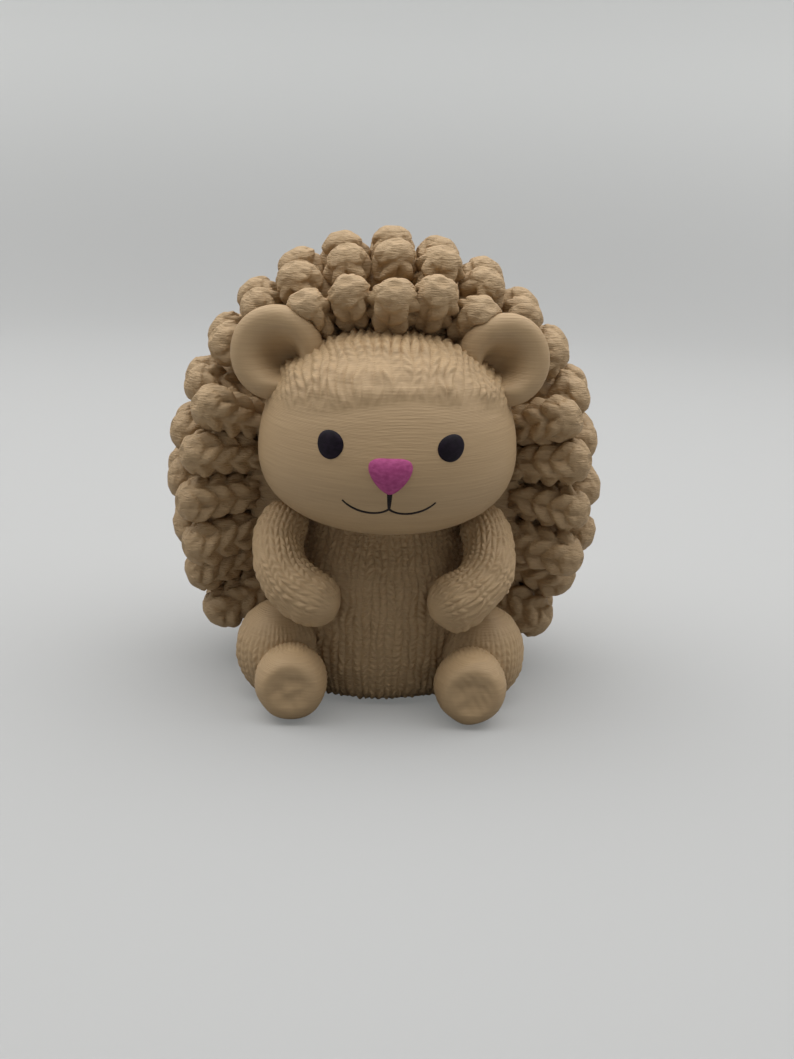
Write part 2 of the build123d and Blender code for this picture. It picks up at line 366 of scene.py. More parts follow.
def turned_form(outline, columns):
    """A grid of points from an outline of radius and height, turned about the upright axis."""
    angle = np.linspace(0, 2 * pi, columns, endpoint=False)
    radius = outline[:, 0, None]
    level = np.broadcast_to(outline[:, 1, None], (len(outline), columns))
    return np.stack([radius * np.cos(angle), radius * np.sin(angle), level], axis=-1), angle


print("points on 1 mm:", len(evenly(np.array([(0, 0), (mm, 0)]), fine_step)))

# %% [markdown]
# The body is a barrel that stands flat. Its outline is two Bezier curves, one up the belly and one from
# there to the neck. Its wales run straight up and are about two and a half millimetres wide, so each leg of
# a V shows as a rib half as wide. The relief is kept shallow, as the faint stitches of the real print are.
# %% Body
body_low, body_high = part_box("body")
body_radius = (body_high.x - body_low.x) / 2
body_middle = (body_high.y + body_low.y) / 2
body_level, body_height = 13 * mm, body_high.z
base_radius, neck_radius = 11.3 * mm, 13.2 * mm
belly_fullness, barrel_curve_points = 0.55, 90
belly_wales, belly_row, belly_relief = 41, 1.2 * mm, 0.6 * mm
belly_wale_points = 16
smooth_foot_rim = 0.6 * mm

rise = body_level * belly_fullness
chest = (body_height - body_level) * belly_fullness
barrel_outline = two_curves(
    barrel_curve_points, (base_radius, 0), (body_radius, 0), (body_radius, body_level - rise),
    (body_radius, body_level), (body_radius, body_level + chest), (neck_radius, body_height - chest),
    (neck_radius, body_height))
barrel_rows, barrel_angle = turned_form(evenly(barrel_outline, fine_step), belly_wales * belly_wale_points)
level = barrel_rows[..., 2]
wale = strayed(barrel_angle / (2 * pi) * belly_wales, barrel_rows, amount=0.12, size=1.2 * mm, seed=4)
row = strayed(level / belly_row, barrel_rows, amount=0.8, size=1.8 * mm, seed=2)
uneven = lumps(barrel_rows, size=1.3 * mm, seed=3)
knit = stitches(wale, row, slant=0.8, cord=0.55) - full_stitch_middle
knit = uneven_knit(knit, uneven, varied=0.5)
barrel_rows = raised(barrel_rows, belly_relief * knit * fade(0, smooth_foot_rim, level))
barrel_rows[..., 1] += body_middle
body = grid_mesh("knitted_body", barrel_rows, start=(0, body_middle, 0), end=(0, body_middle, body_height))
dress(body, fuzzy_tan, "tan_print", "body")

# %% [markdown]
# The head is a ball with full cheeks, and its face is smooth, with a slight muzzle that catches the light
# between the eyes. A formula adds this soft swelling to the ball. It is a function of its own, because the
# paint has to lie on it later.
# %% Head outline and muzzle
head_low, head_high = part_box("head")
head_radius = (head_high.x - head_low.x) / 2
head_middle = (head_high.y + head_low.y) / 2
head_level = 41 * mm
head_rise = head_high.z - head_level
head_drop = head_level - head_low.z
side_fullness, crown_fullness, cheek_fullness = 0.56, 0.62, 0.72
head_curve_points = 120
muzzle_height, muzzle_level = 1.1 * mm, 40.5 * mm
muzzle_half_width, muzzle_half_height = 8.5 * mm, 5.5 * mm

head_outline = two_curves(
    head_curve_points, (0, -head_drop), (cheek_fullness, -head_drop), (1, -head_drop * side_fullness),
    (1, 0), (1, head_rise * crown_fullness), (crown_fullness, head_rise), (0, head_rise))
head_outline = head_outline * (head_radius, 1) + (0, head_level)


def muzzle(x, z):
    """How far the muzzle lifts the face at a place across and up."""
    sideways, upward = x / muzzle_half_width, (z - muzzle_level) / muzzle_half_height
    return muzzle_height * np.exp(-sideways**2 - upward**2)


print("head in mm:", round(2 * head_radius / mm, 1), "by", round((head_rise + head_drop) / mm, 1))

# %% [markdown]
# The forehead is a knitted cap. It stands a little higher than the face, and its edge wanders, because a
# ruled line would look like a seam. Stitches round the upright axis would be squeezed at the crown, so they
# run over the head from front to back, with the ears as their poles.
# %% Head
head_step, head_columns = 0.22 * mm, 600
forehead_wale, forehead_row, forehead_relief = 2.8 * mm, 2.6 * mm, 0.55 * mm
cap_height = 0.7 * mm
cap_edge_level, cap_edge_drop, cap_edge_width = 50.2 * mm, 2.2 * mm, 3.2 * mm
cap_edge_stray, cap_edge_lump = 1.0 * mm, 2.5 * mm

head_rows, _ = turned_form(evenly(head_outline, head_step)[1:-1], head_columns)
x, y, z = np.moveaxis(head_rows, -1, 0)
across = head_radius * np.arcsin(np.clip(x / head_radius, -1, 1))
over = head_radius * np.arctan2(z - head_level, -y)
wale = strayed(across / forehead_wale + 0.5, head_rows, amount=0.22, size=2.6 * mm, seed=8)
row = strayed(over / forehead_row, head_rows, amount=0.6, size=2.4 * mm, seed=5)
uneven = lumps(head_rows, size=1.3 * mm, seed=7)
knit = stitches(wale, row, slant=0.7, cord=0.62) - full_stitch_middle
knit = uneven_knit(knit, uneven, varied=0.6, rough=0.5)
edge = cap_edge_level - cap_edge_drop * (x / head_radius) ** 2
edge = edge + cap_edge_stray * lumps(head_rows, cap_edge_lump, seed=6)
cap = fade(edge, edge + cap_edge_width, z)
head_rows = raised(head_rows, cap * (cap_height + forehead_relief * knit) + (y < 0) * muzzle(x, z))
head_rows[..., 1] += head_middle
head = grid_mesh("head_with_knitted_forehead", head_rows,
                 start=(0, head_middle, head_low.z), end=(0, head_middle, head_high.z + cap_height))
dress(head, tan, "tan_print", "head")

# %% [markdown]
# The ears are round and dished, with a broad soft rim. Each is turned like the head, but about an axis that
# looks forward and a little outward. The outline goes from the middle of the back round the rim and then
# sinks gently, and the bowl's middle is moved towards the head, where the bowl is deepest on the real one.
# The half of each ear that is nearer the head also sinks back, so that its rim runs into the quills.
# %% Ears
ear_radius, ear_half = 7.4 * mm, 2.2 * mm
ear_lip = ear_radius - ear_half
ear_place = Vector((17.9, 12.2, 56.2)) * mm
ear_turn, ear_tilt = radians(14), radians(8)
bowl_depth, ear_back = 5.0 * mm, 0.6 * mm
bowl_lip_share, bowl_floor_share = 0.45, 0.52
bowl_shift_in, bowl_shift_down = 1.9 * mm, 1.7 * mm
inner_sink, inner_lean = 1.6 * mm, 0.4
ear_stray, ear_lump = 0.02, 4 * mm
ear_step, ear_columns_round, ear_curve_points = 0.25 * mm, 120, 40


def ear_frame(side):
    """An ear's middle and its axes: across, up and out of the dish."""
    facing = Vector((side * sin(ear_turn) * cos(ear_tilt), -cos(ear_turn) * cos(ear_tilt), sin(ear_tilt)))
    right = Vector((cos(ear_turn), side * sin(ear_turn), 0))
    axes = np.array([right, facing.cross(right), facing])
    return np.array(ear_place) * (side, -1, 1), axes


def ear_outline(bottom):
    """Radius and height from the middle of the back, round the rim, to the bowl's bottom."""
    rim_angle = np.linspace(-pi / 2, pi / 2, ear_curve_points)
    rim = np.stack([ear_lip + ear_half * np.cos(rim_angle), ear_half * np.sin(rim_angle)], axis=1)
    bowl = bezier(ear_curve_points, rim[-1], (ear_lip * bowl_lip_share, ear_half),
                  (ear_lip * bowl_floor_share, bottom), (0, bottom))
    return evenly(np.concatenate([[(0, bottom - ear_back)], rim, bowl[1:]]), ear_step)[1:-1]


def ear(side, name, node):
    """One dished ear with a broad rounded rim."""
    bottom = ear_half - bowl_depth
    outline = ear_outline(bottom)
    rows, _ = turned_form(outline, ear_columns_round)
    rows[..., :2] *= 1 + ear_stray * lumps(rows * (1, 1, 0), ear_lump, seed=11 + side)[..., None]
    rim_end = np.argmax(outline[:, 0])
    in_bowl = (np.arange(len(outline)) > rim_end) * np.clip(1 - outline[:, 0] / ear_lip, 0, 1)
    rows[..., 0] -= side * bowl_shift_in * in_bowl[:, None]
    rows[..., 1] -= bowl_shift_down * in_bowl[:, None]
    rows[..., 2] -= inner_sink * fade(0, ear_radius, -side * rows[..., 0] - inner_lean * rows[..., 1])
    middle, axes = ear_frame(side)
    bowl_middle = np.array([-side * bowl_shift_in, -bowl_shift_down, bottom])
    piece = grid_mesh(name, rows @ axes + middle, start=middle + (bottom - ear_back) * axes[2],
                      end=middle + bowl_middle @ axes)
    dress(piece, tan, "tan_print", node)


for side_name, side in sides:
    ear(side, f"dished_ear_{side_name}", f"ear_{side_name}")

# %% [markdown]
# The arms are knitted cords that come from under the cheeks, bend at the elbow and rest on the belly. The
# middle line is an arc through shoulder, elbow and hand. A tube is swept along it, and its radius falls off
# as a half circle at each end, which rounds the shoulder and the hand.
# %% Arcs and tubes
def arc_through(start, middle, end, count):
    """Points along the circular arc through three points."""
    start, middle, end = (np.array(point) for point in (start, middle, end))
    chord = unit(middle - start)
    axis = unit(np.cross(middle - start, end - start))
    upward = np.cross(axis, chord)
    half_chord = (middle - start) @ chord / 2
    end_along, end_up = (end - start) @ chord, (end - start) @ upward
    centre_up = ((end_along - half_chord) ** 2 + end_up**2 - half_chord**2) / (2 * end_up)
    centre = start + chord * half_chord + upward * centre_up
    first_way = unit(start - centre)
    second_way = np.cross(axis, first_way)
    sweep = np.arctan2((end - centre) @ second_way, (end - centre) @ first_way) % (2 * pi)
    angle = np.linspace(0, sweep, count)[:, None]
    radius = np.linalg.norm(start - centre)
    return centre + radius * (np.cos(angle) * first_way + np.sin(angle) * second_way)


def tube_radius(steps, start_radius, end_radius):
    """A tube's radius at each distance along it, with half-round ends."""
    length = steps[-1]
    share = np.clip((steps - start_radius) / (length - start_radius - end_radius), 0, 1)
    radius = start_radius + (end_radius - start_radius) * share
    from_end = np.minimum(np.minimum(steps, length - steps) / radius, 1)
    return radius * np.sqrt(np.clip(1 - (1 - from_end) ** 2, 0, 1))


def tube(path, start_radius, end_radius, spacing, columns):
    """A grid round a path with half-round ends, and how far along and round each point is."""
    line = evenly(path, spacing)
    before = line[0] - unit(line[1] - line[0]) * start_radius
    after = line[-1] + unit(line[-1] - line[-2]) * end_radius
    whole = evenly(np.concatenate([[before], line, [after]]), spacing)
    steps = np.concatenate([[0], np.cumsum(np.linalg.norm(np.diff(whole, axis=0), axis=1))])
    radius = tube_radius(steps, start_radius, end_radius)[:, None, None]
    along = unit(np.gradient(whole, axis=0))
    side_way = unit(np.cross(along, np.cross(line[1] - line[0], line[-1] - line[-2])))
    up_way = np.cross(along, side_way)
    angle = np.linspace(0, 2 * pi, columns, endpoint=False)
    round_way = side_way[:, None] * np.cos(angle)[:, None] + up_way[:, None] * np.sin(angle)[:, None]
    rows = whole[:, None] + radius * round_way
    return rows[1:-1], steps[1:-1], angle, whole[0], whole[-1]


print("middle of a half ring:", np.round(arc_through((-1, 0, 0), (0, 1, 0), (1, 0, 0), 3)[1], 2))

# %% [markdown]
# The stitches follow the arm, so the pattern counts round the tube and along it. They fade out at the
# hand's tip, where they would be squeezed. The right arm is the left one mirrored, with lumps of its own.
# Its columns run the other way, so that its faces still look outward.
# %% Arms
shoulder = Vector((16.2, -11.6, 28.2)) * mm
elbow = Vector((16.5, -16.6, 23.3)) * mm
hand = Vector((11.2, -21.0, 18.9)) * mm
arm_radius, hand_radius = 3.8 * mm, 4.4 * mm
arm_wales, arm_row, arm_relief = 14, 1.5 * mm, 0.42 * mm
arm_wale_points, arm_curve_points = 14, 60
smooth_tip = 2.5 * mm


def arm(side, name, node):
    """One knitted arm with a rounded hand."""
    path = arc_through(shoulder, elbow, hand, arm_curve_points)
    rows, along, angle, first, last = tube(path, arm_radius, hand_radius, fine_step,
                                           arm_wales * arm_wale_points)
    wale = strayed(angle / (2 * pi) * arm_wales, rows, amount=0.15, seed=24 + side)
    row = strayed(along[:, None] / arm_row, rows, amount=0.5, seed=21 + side)
    uneven = lumps(rows, size=1.2 * mm, seed=22 + side)
    tip = fade(0, smooth_tip, along[-1] - along)[:, None]
    knit = (stitches(wale, row, slant=0.7, cord=0.4) - stitch_middle) * tip
    rows = raised(rows, arm_relief * uneven_knit(knit, uneven))
    mirror = np.array([side, 1, 1])
    rows = rows[:, ::side] * mirror
    piece = grid_mesh(name, rows, start=first * mirror, end=last * mirror)
    dress(piece, tan, "tan_print", node)


for side_name, side in sides:
    arm(side, f"knitted_arm_{side_name}", f"arm_{side_name}")

# %% [markdown]
# Each leg is a plump thigh beside the body and an egg-shaped foot that sits on the floor, sole forward.
# Both are eggs, so one helper makes their outlines, with the ends pulled blunt. The thigh is knitted, with
# a smooth crown, and what lies below the floor is pressed flat.
# %% Thighs
thigh_size = Vector((14.2, 15.6, 16.0)) * mm
thigh_place = Vector((16.4, -12.7, 7.85)) * mm
thigh_fullness, egg_curve_points = 0.56, 80
thigh_wales, thigh_row, thigh_relief = 24, 1.4 * mm, 0.26 * mm
thigh_wale_points = 12
crown_smooth, crown_knitted = 1 * mm, 6 * mm


def egg_outline(radius, half_length, back_fullness, front_fullness):
    """Half an egg's outline as radius and place along its axis, from back to front."""
    return two_curves(
        egg_curve_points, (0, -1), (back_fullness, -1), (1, -back_fullness), (1, 0),
        (1, front_fullness), (front_fullness, 1), (0, 1)) * (radius, half_length)


def set_down(rows, place):
    """The grid moved to its place, with what lies below the floor pressed flat."""
    rows = rows + place
    rows[..., 2] = np.maximum(rows[..., 2], 0)
    return rows


def thigh(side, name, node):
    """One plump knitted thigh, flat below."""
    half_height = thigh_size.z / 2
    outline = egg_outline(thigh_size.x / 2, half_height, thigh_fullness, thigh_fullness)
    rows, angle = turned_form(evenly(outline, fine_step)[1:-1], thigh_wales * thigh_wale_points)
    rows[..., 1] *= thigh_size.y / thigh_size.x
    wale = strayed(angle / (2 * pi) * thigh_wales, rows, amount=0.2, seed=37 + side)
    row = strayed(rows[..., 2] / thigh_row, rows, amount=0.5, seed=30 + side)
    uneven = lumps(rows, size=1.2 * mm, seed=31 + side)
    below_top = half_height - rows[..., 2]
    knit = (stitches(wale, row) - stitch_middle) * fade(crown_smooth, crown_knitted, below_top)
    rows = raised(rows, thigh_relief * uneven_knit(knit, uneven))
    place = np.array(thigh_place) * (side, 1, 1)
    piece = grid_mesh(name, set_down(rows, place), start=place * (1, 1, 0), end=place + (0, 0, half_height))
    dress(piece, tan, "tan_print", node)


print("thigh in mm:", thigh_size / mm)

# %% [markdown]
# The foot is made upright and then tipped over, sole forward. It is smooth, because its stitches fade out
# before the sole. The sole is lightly dished, as if by a thumb.
# %% Feet, and both legs
foot_size = Vector((11.4, 13.0, 11.7)) * mm
foot_place = Vector((14.2, -22.2, 5.7)) * mm
heel_fullness, sole_fullness = 0.56, 0.70
foot_wales, foot_row, foot_relief = 24, 1.8 * mm, 0.26 * mm
foot_wale_points = 8
knit_full, knit_gone = -1 * mm, 4 * mm
dish_width, dish_height, dish_depth = 6.8 * mm, 6.8 * mm, 1.3 * mm
dish_rise = 0.4 * mm
dish_flat_share, dish_edge_share = 0.35, 1.3
dish_stray, dish_lump = 0.12, 0.5 * mm


def sole_dish(rows, seed):
    """How deep the sole is dished at each point of the upright foot."""
    oval = np.hypot(rows[..., 0] / (dish_width / 2), (rows[..., 1] - dish_rise) / (dish_height / 2))
    dent = 1 - fade(dish_flat_share, dish_edge_share, oval)
    dent = dent * (1 + dish_stray * lumps(rows, dish_lump, seed))
    return dish_depth * dent * (rows[..., 2] > 0)


def foot(side, name, node):
    """One egg-shaped foot with a dished sole, flat below."""
    half_length = foot_size.y / 2
    outline = egg_outline(foot_size.x / 2, half_length, heel_fullness, sole_fullness)
    rows, angle = turned_form(evenly(outline, fine_step)[1:-1], foot_wales * foot_wale_points)
    rows[..., 1] *= foot_size.z / foot_size.x
    wale = strayed(angle / (2 * pi) * foot_wales, rows, amount=0.2, seed=33 + side)
    uneven = lumps(rows, size=1.6 * mm, seed=34 + side)
    knit = stitches(wale, rows[..., 2] / foot_row) - stitch_middle
    knit = knit * (1 - fade(knit_full, knit_gone, rows[..., 2]))
    rows = raised(rows, foot_relief * uneven_knit(knit, uneven, varied=0))
    rows[..., 2] -= sole_dish(rows, seed=20 + side)
    place = np.array(foot_place) * (side, 1, 1)
    rows = set_down(np.stack([rows[..., 0], -rows[..., 2], rows[..., 1]], axis=-1), place)
    piece = grid_mesh(name, rows, start=place + (0, half_length, 0), end=rows[-1].mean(axis=0))
    dress(piece, tan, "tan_print", node)


for side_name, side in sides:
    thigh(side, f"knitted_thigh_{side_name}", f"thigh_{side_name}")
    foot(side, f"smooth_foot_{side_name}", f"foot_{side_name}")

# %% [markdown]
# The coat grows from an egg behind the head and body. Little of it shows between the quills, yet the gaps
# look deep only if something knitted and tan closes them. It is turned about the front-to-back axis and
# stitched in rings like a cap. Its front edge is tucked in behind the cheeks, so that the first quills seem
# to grow from right beside the face.
# %% Back shell
shell_radii = np.array([24.3, 19.0, 29.4]) * mm
shell_middle = np.array([0, 4, 33]) * mm
shell_front = -7 * mm
shell_rings, shell_columns = 150, 480
shell_wales, rows_per_radian, shell_relief = 36, 7, 0.9 * mm
first_ring_angle, tuck_margin, tuck_depth = 71, 3, 3.0 * mm


def shell_way(ring_angle, column_angle):
    """The way out of a ball, by angle from the front and round the front-to-back axis."""
    ways = np.broadcast_arrays(np.sin(ring_angle) * np.sin(column_angle), -np.cos(ring_angle),
                               np.sin(ring_angle) * np.cos(column_angle))
    return np.stack(ways, axis=-1)


start_angle = np.arccos((shell_middle[1] - shell_front) / shell_radii[1])
ring_angles = np.linspace(start_angle, pi, shell_rings)[:-1, None]
column_angles = np.linspace(0, 2 * pi, shell_columns, endpoint=False)[None, :]
shell_rows = shell_way(ring_angles, column_angles) * shell_radii + shell_middle
wale, row = column_angles * shell_wales / (2 * pi), ring_angles * rows_per_radian
knit = stitches(wale, row, slant=0.5, cord=0.3) - stitch_middle
tuck = 1 - fade(start_angle, radians(first_ring_angle - tuck_margin), ring_angles)
shell_rows = raised(shell_rows, shell_relief * knit - tuck_depth * tuck)
shell = grid_mesh("knitted_back_shell", shell_rows, start=(0, shell_front, shell_middle[2]),
                  end=(0, shell_middle[1] + shell_radii[1], shell_middle[2]))
dress(shell, fuzzy_tan, "tan_print", "back_shell")

# %% [markdown]
# The quills make the hedgehog. Each is a stubby knitted cord: narrow at the root, widest near the end, with
# a blunt round tip. Only three fat stitches go round it, so it looks braided even from afar. At the tip the
# six legs are gathered into a dimple, as the last row of a knitted cord is drawn together. A cord is a grid
# about its own axis, made anew for each root. Seeded draws turn, bend and size each one a little
# differently, because equal copies would look cast.
# %% One quill
quill_length = 12.4 * mm
quill_root_radius, quill_radius, swell_share = 3.0 * mm, 3.5 * mm, 0.6
quill_stitches, quill_row = 3, 3.2 * mm
quill_relief, gather_relief = 1.5 * mm, 0.42 * mm
dome_length, dimple_depth = 3.4 * mm, 0.5 * mm
quill_flatness = 0.94
quill_points, quill_columns, tip_crowding, last_share = 52, 60, 1.3, 0.02
front_turn, bead_middle, bead_varied = 0.75, 0.62, 0.25
leg_roundness, leg_middle, legs_varied = 0.95, 0.75, 0.8
knit_gone_share, knit_full_share = 0.35, 1.15
gather_share, rough_share, dimple_share = 0.35, 0.3, 0.06
lump_size, lump_height = 1.4 * mm, 0.24 * mm
nap_size, nap_height, nap_waves = 0.42 * mm, 0.15 * mm, 20


def quill_grid(turn, twist, phase, draw_seed):
    """A knitted cord along Z with a round tip, as a grid of points."""
    share = 1 - np.linspace(1, last_share, quill_points) ** tip_crowding
    swell = quill_root_radius + (quill_radius - quill_root_radius) * fade(0, swell_share, share)
    from_tip = np.clip((1 - share) * quill_length / dome_length, 0, 1)
    outline = np.stack([swell * np.sqrt(1 - (1 - from_tip) ** 2), share * quill_length], axis=1)
    smooth, angle = turned_form(outline, quill_columns)
    share, from_tip, radius, along = share[:, None], from_tip[:, None], outline[:, :1], outline[:, 1:]
    wale = (angle / (2 * pi) - front_turn) * quill_stitches + 0.5 + turn + twist * share
    row = (along - quill_length + dome_length) / quill_row + phase
    bead = stitches(wale, row, slant=0.6, lean=0.2, cord=0.25, reach=0.5, roundness=0.6) - bead_middle
    legs = np.sqrt(1 - leg_roundness * (2 * (2 * wale % 1) - 1) ** 2) - leg_middle
    below_dome = fade(knit_gone_share * dome_length, knit_full_share * dome_length, quill_length - along)
    on_dome = (1 - below_dome) * fade(0, gather_share, from_tip)
    uneven = lumps(smooth, lump_size, draw_seed)
    nap = lumps(smooth, nap_size, draw_seed + 1, nap_waves)
    reach = radius + quill_relief * bead * below_dome * (1 + bead_varied * uneven)
    reach = reach + gather_relief * legs * on_dome * (1 + legs_varied * uneven)
    reach = reach + (lump_height * uneven + nap_height * nap) * fade(0, rough_share, from_tip)
    along = np.broadcast_to(along - dimple_depth * (1 - fade(0, dimple_share, from_tip)), reach.shape)
    return np.stack([reach * np.cos(angle), reach * np.sin(angle) * quill_flatness, along], axis=-1)


plain_quill = quill_grid(0, 0, 0, 0).reshape(-1, 3)
print("one quill in mm:", np.round(np.ptp(plain_quill, axis=0) / mm, 1))

# %% [markdown]
# The quills stand in rings round the shell, from the face to one quill in the middle of the back. They keep
# the CAD model's angles, counts and gaps for the ears and the arms. The crown's quills lean forward over
# the forehead, and the one in the middle of the first ring most.
# %% Where the quills stand
ring_gaps, columns_round = 9, 28
crown_lean, lean_fade, forelock_lean = 9, 3, 3.5
quill_room, widest_share = 6.85 * mm, 0.62
cad_quill_width, ground_gap = 6.7 * mm, 1.2 * mm
first_reach, ear_columns = 118, (32, 58)
root_gap = 0.05 * mm


def ring_angle(ring):
    """How far round from the front a ring lies, in degrees."""
    return first_ring_angle + (180 - first_ring_angle) * ring / ring_gaps


def shell_point(ring, column, lean=0):
    """A place on the shell and the way straight out of it."""
    out = shell_way(radians(ring_angle(ring) - lean), radians(column))
    return out * shell_radii + shell_middle, unit(out / shell_radii)


def quill_root(ring, column):
    """The root of one quill and the three axes of its cord."""
    lean = max(crown_lean - ring * lean_fade, 0) * ((1 + cos(radians(column))) / 2) ** 2
    if ring == 0 and column == 0:
        lean += forelock_lean
    place, normal = shell_point(ring, column, lean)
    across = np.array([normal[2], 0, -normal[0]])
    across = unit(across) if np.linalg.norm(across) > shortest else np.array([1.0, 0, 0])
    return place + normal * root_gap, np.array([across, np.cross(normal, across), normal])


def stands_clear(ring, column):
    """Whether a quill at this place keeps off the ground."""
    root, axes = quill_root(ring, column)
    return (root + axes[2] * quill_length)[2] - cad_quill_width / 2 > ground_gap


def ring_columns(ring):
    """The angles round the shell at which this ring has a quill, in degrees."""
    place, normal = shell_point(ring, 90)
    girth = 2 * pi * (place[0] + normal[0] * quill_length * widest_share)
    count = max(min(columns_round, int(girth / quill_room)), 1)
    columns = [360 * column / count for column in range(count)]
    columns = [column if column <= 180 else column - 360 for column in columns]
    if ring == 0:
        columns = [column for column in columns if abs(column) < first_reach
                   and not ear_columns[0] < abs(column) < ear_columns[1]]
    return [column for column in columns if stands_clear(ring, column)]


print("quills in each ring:", [len(ring_columns(ring)) for ring in range(ring_gaps + 1)])

# %% [markdown]
# Where a quill would come through an ear, its points are pushed out to the ear's surface, so the two touch.
# Each ring is one mesh, and its draws have a seed of their own. The quills over the forehead are turned
# less, so each has a stitch in front.
# %% Quill rings
root_sink = 1.2 * mm
front_reach, front_turn_spread, turn_spread = 20, 0.1, 0.5
twist_spread, phase_spread = 0.25, 0.15
size_spread, bend_spread = 0.03, 0.6 * mm
ring_seed = 100


def clear_of_ears(points):
    """Points of a quill, pushed out of the ears where they would come through."""
    for _, side in sides:
        middle, axes = ear_frame(side)
        local = (points - middle) @ axes.T
        radial = np.maximum(np.linalg.norm(local[..., :2], axis=-1), root_gap)
        beyond = np.maximum(radial - ear_lip, 0)
        distance = np.maximum(np.hypot(beyond, local[..., 2]), root_gap)
        push = np.maximum((ear_half + root_gap) / distance, 1) - 1
        local[..., :2] *= (1 + push * beyond / radial)[..., None]
        local[..., 2] -= push * np.abs(local[..., 2])
        points = local @ axes + middle
    return points


def placed_quill(draw, ring, column):
    """One quill of a ring, varied by the ring's draws."""
    spread = front_turn_spread if ring == 0 and abs(column) < front_reach else turn_spread
    turn = draw.uniform(-spread, spread)
    twist = draw.uniform(-twist_spread, twist_spread)
    phase = draw.uniform(-phase_spread, phase_spread)
    rows = quill_grid(turn, twist, phase, int(draw.integers(1000)))
    rows = rows * draw.uniform(1 - size_spread, 1 + size_spread)
    rows[..., :2] += (rows[..., 2:] / quill_length) ** 2 * draw.uniform(-bend_spread, bend_spread, 2)
    rows[0, :, 2] -= root_sink
    root, axes = quill_root(ring, column)
    return clear_of_ears(rows @ axes + root)


def quill_faces(index):
    """A quill's quads and one face over each end."""
    ends = [index[0, ::-1].tolist(), index[-1].tolist()]
    return grid_quads(index, np.roll(index, -1, axis=1)) + ends


def quill_ring(ring):
    """One ring of quills as a mesh."""
    draw = np.random.default_rng(ring_seed + ring)
    quills = [placed_quill(draw, ring, column) for column in ring_columns(ring)]
    piece = joined_mesh(f"knitted_quill_ring_{ring + 1}", quills, quill_faces)
    dress(piece, fuzzy_tan, "tan_print", f"quill_ring_{ring + 1}")


for ring in range(ring_gaps + 1):
    quill_ring(ring)

# %% [markdown]
# The face is painted by hand: two violet-black eyes, a magenta nose with full round sides, and a thin black
# mouth. Paint lies on the head, so each patch is laid over the head's own curve and stands out by half a
# millimetre or, at the nose, by one. Its outermost points are sunk into the head, so that no gap shows.
# %% Paint on the face
edge_sink = 0.12 * mm


def face_front(x, z):
    """The depth of the face's surface at a place across and up, with the muzzle."""
    radius = np.interp(z, head_outline[:, 1], head_outline[:, 0])
    return head_middle - np.sqrt(np.maximum(radius**2 - x**2, 0)) - muzzle(x, z)


def on_face(flat, lift):
    """Points that stand out of the face by lift, at places across and up."""
    depth = face_front(flat[..., 0], flat[..., 1]) - lift
    return np.stack([flat[..., 0], depth, flat[..., 1]], axis=-1)


def painted_patch(name, outline, rings, proud, roundness):
    """A domed patch of paint inside an outline of places across and up."""
    middle = outline.mean(axis=0)
    share = np.sin(np.linspace(pi / 2, 0, rings, endpoint=False))[:, None]
    flat = middle + (outline - middle) * share[..., None]
    lift = proud * (1 - share**2) ** roundness
    lift[0] -= edge_sink
    return grid_mesh(name, on_face(flat, lift), end=on_face(middle, proud))


print("front of the muzzle in mm:", round(float(face_front(0, muzzle_level)) / mm, 1))

# %% [markdown]
# Eye paint is satin and nearly black, with a violet cast. The nose paint is flatter. Brush marks tell that
# it is paint, so one noise varies the colour, breaks up the gloss and gives a low bump.
# %% Paints
mark_width, mark_height, mark_detail = 0.9 * mm, 0.5 * mm, 4
paint_shine, gloss_spread = 0.12, 0.1
mark_bump_strength, mark_bump_depth = 0.35, 0.06 * mm


def paint(name, dark, light, roughness):
    """Hand-laid paint with brush marks in its colour and its gloss."""
    material, tree, shader = new_material(name, roughness)
    marks = stretched_noise(tree, mark_width, mark_height, mark_detail)
    gloss = add_node(tree, "ShaderNodeMapRange", {
        "Value": marks, "To Min": roughness - gloss_spread, "To Max": roughness + gloss_spread})
    set_inputs(tree, shader, {
        "Base Color": two_colours(tree, marks, dark, light), "Roughness": gloss.outputs["Result"],
        "Specular IOR Level": paint_shine})
    add_bump(tree, shader, marks, mark_bump_strength, mark_bump_depth)
    return material


eye_paint = paint("eye_paint", (0.008, 0.006, 0.009, 1), (0.016, 0.010, 0.018, 1), 0.42)
nose_paint = paint("nose_paint", (0.34, 0.058, 0.172, 1), (0.45, 0.090, 0.240, 1), 0.5)
mouth_paint = paint("mouth_paint", (0.014, 0.010, 0.010, 1), (0.030, 0.022, 0.020, 1), 0.5)
print("paints:", eye_paint.name, nose_paint.name, mouth_paint.name)

# %% [markdown]
# The eyes are ovals that wander a little from a true ellipse, as a brush does. The nose is a rounded
# triangle. One half is a Bezier curve whose handles pull the side out full, and the other mirrors it.
# %% Eyes and nose
eye_spread, eye_level = 9.0 * mm, 45.4 * mm
eye_width, eye_height = 4.0 * mm, 4.1 * mm
eye_oval, eye_corner = 0.03, 0.025
eye_proud, eye_roundness, eye_rings, eye_points = 0.5 * mm, 0.5, 16, 96
nose_width, nose_height, nose_top = 6.7 * mm, 5.4 * mm, 44.2 * mm
nose_top_share, nose_side_share, nose_tip_share = 0.35, 1.75, 0.45
nose_proud, nose_roundness, nose_rings, nose_step = 1.0 * mm, 0.42, 24, 0.15 * mm
nose_tip, nose_points = nose_top - nose_height, 50

